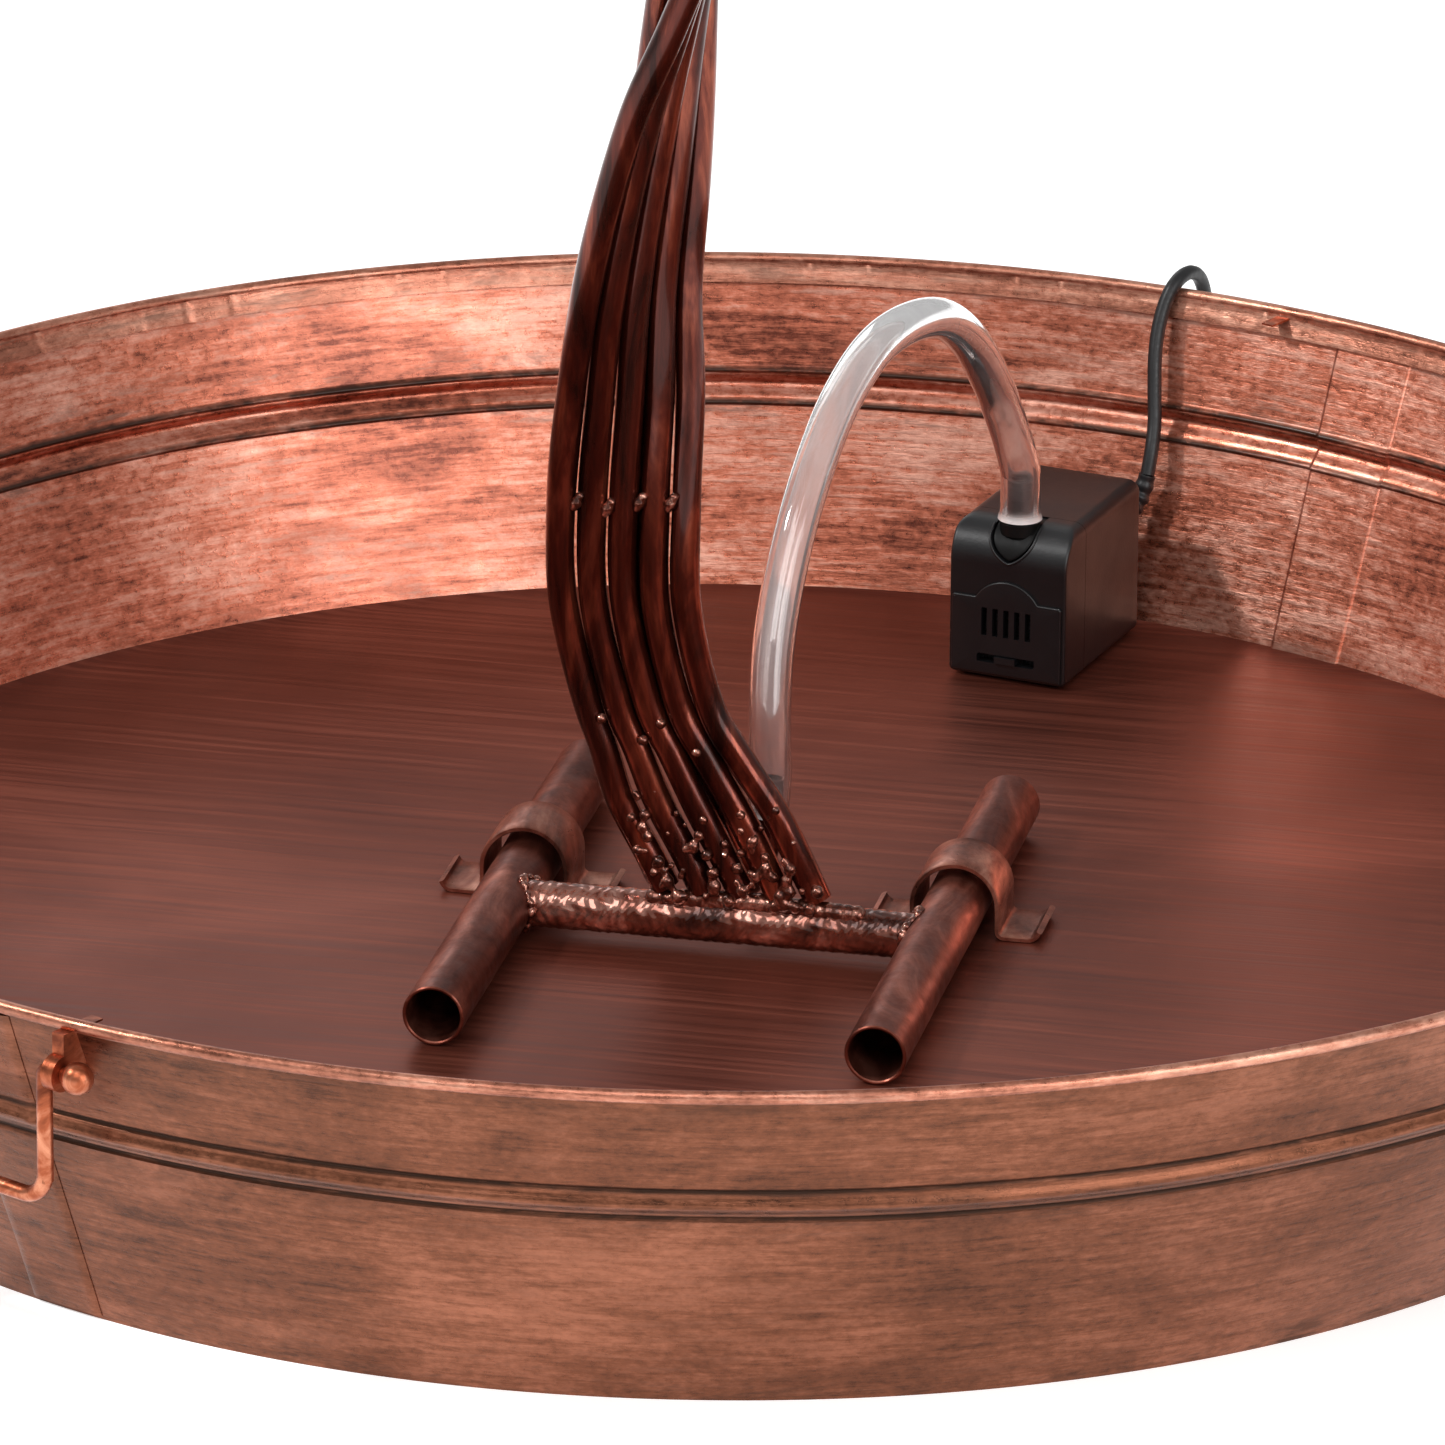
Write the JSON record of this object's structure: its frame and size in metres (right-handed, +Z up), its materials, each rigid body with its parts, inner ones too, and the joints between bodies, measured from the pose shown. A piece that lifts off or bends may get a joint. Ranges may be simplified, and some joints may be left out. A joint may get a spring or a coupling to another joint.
{
  "type": "tabletop water fountain",
  "caption": "Round copper-finished tub with bail handles, a submersible pump with a clear hose, and a removable tree of bent rods that carries leaf-shaped spill cups.",
  "frame": {"origin": "centre of the tub's foot, on the surface it stands on", "axes": "+Z up; Y along the stand's runners, with the pump towards +Y; X across the runners"},
  "size_m": [0.61, 0.6642, 0.6033],
  "materials": {
    "copper_sheet": "brushed copper patina with dark stains",
    "floor_brown": "dark brown satin",
    "rim_copper": "worn bright copper",
    "bail_copper": "satin copper",
    "runner_brown": "satin dark copper",
    "cross_copper": "glossy hammered copper",
    "rod_brown": "glossy dark copper lacquer",
    "weld_copper": "glossy lumpy weld",
    "leaf_copper": "beaten copper patina",
    "pump_black": "satin black moulded plastic",
    "pump_resin": "potting resin",
    "rotor_ferrite": "ferrite",
    "impeller_white": "moulded",
    "shaft_ceramic": "ground ceramic",
    "foam_grey": "open-cell foam",
    "rubber_black": "smooth rubber",
    "cord_black": "satin PVC sheath",
    "plug_black": "moulded PVC",
    "pin_brass": "plain",
    "hose_clear": "clear PVC"
  },
  "bodies": {
    "tub": {"left_sheet": "copper_sheet", "right_sheet": "copper_sheet", "tub_floor": "floor_brown", "left_rim": "rim_copper", "right_rim": "rim_copper", "left_hem": "floor_brown", "right_hem": "floor_brown", "side_seams": "copper_sheet", "handle_lugs": "bail_copper", "left_strap": "runner_brown", "right_strap": "runner_brown", "pump_case": "pump_black", "motor_core": "pump_resin", "rotor_shaft": "shaft_ceramic", "shaft_bush": "rubber_black", "volute": "pump_black", "outlet_nozzle": "pump_black", "pump_feet": "rubber_black", "strain_relief": "cord_black", "power_cord": "cord_black", "cord_coil": "cord_black", "cord_tie": "plug_black", "plug_body": "plug_black", "plug_pins": "pin_brass", "water_hose": "hose_clear"},
    "front_bail": {"front_bail": "bail_copper"},
    "rear_bail": {"rear_bail": "bail_copper"},
    "stand": {"left_runner": "runner_brown", "right_runner": "runner_brown", "cross_tube": "cross_copper", "runner_welds": "weld_copper", "trunk_rod_1": "rod_brown", "trunk_rod_2": "rod_brown", "trunk_rod_3": "rod_brown", "trunk_rod_4": "rod_brown", "trunk_rod_5": "rod_brown", "riser_tube": "rod_brown", "base_weld": "weld_copper", "bundle_welds": "weld_copper", "leaf_cup_1": "leaf_copper", "leaf_cup_2": "leaf_copper", "leaf_cup_3": "leaf_copper", "leaf_cup_4": "leaf_copper", "leaf_cup_5": "leaf_copper", "top_leaf_cup": "leaf_copper", "leaf_welds": "weld_copper"},
    "rotor": {"rotor_magnet": "rotor_ferrite", "impeller": "impeller_white"},
    "pump_cover": {"pump_cover": "pump_black", "inlet_foam": "foam_grey"},
    "flow_gate": {"flow_gate": "pump_black"}
  },
  "joints": [
    {"name": "front_bail_hinge", "type": "hinge", "parent": "tub", "child": "front_bail", "pos_m": [-0.13836, -0.27154, 0.0825], "axis": [-0.891, 0.454, 0], "range_deg": [-18, 150]},
    {"name": "rear_bail_hinge", "type": "hinge", "parent": "tub", "child": "rear_bail", "pos_m": [0.13836, 0.27154, 0.0825], "axis": [0.891, -0.454, 0], "range_deg": [-18, 150]},
    {"name": "stand_slide", "type": "slide", "parent": "tub", "child": "stand", "axis": [0, -1, 0], "range_m": [-0.012, 0.07], "deforming": ["water_hose"]},
    {"name": "rotor_spin", "type": "hinge", "parent": "tub", "child": "rotor", "pos_m": [0.0404, 0.23352, 0.026], "axis": [-0.2079, -0.9781, 0], "continuous": true},
    {"name": "cover_slide", "type": "slide", "parent": "tub", "child": "pump_cover", "axis": [-0.2079, -0.9781, 0], "range_m": [0, 0.02]},
    {"name": "gate_slide", "type": "slide", "parent": "pump_cover", "child": "flow_gate", "axis": [0.9781, -0.2079, 0], "range_m": [-0.005, 0.005]}
  ]
}
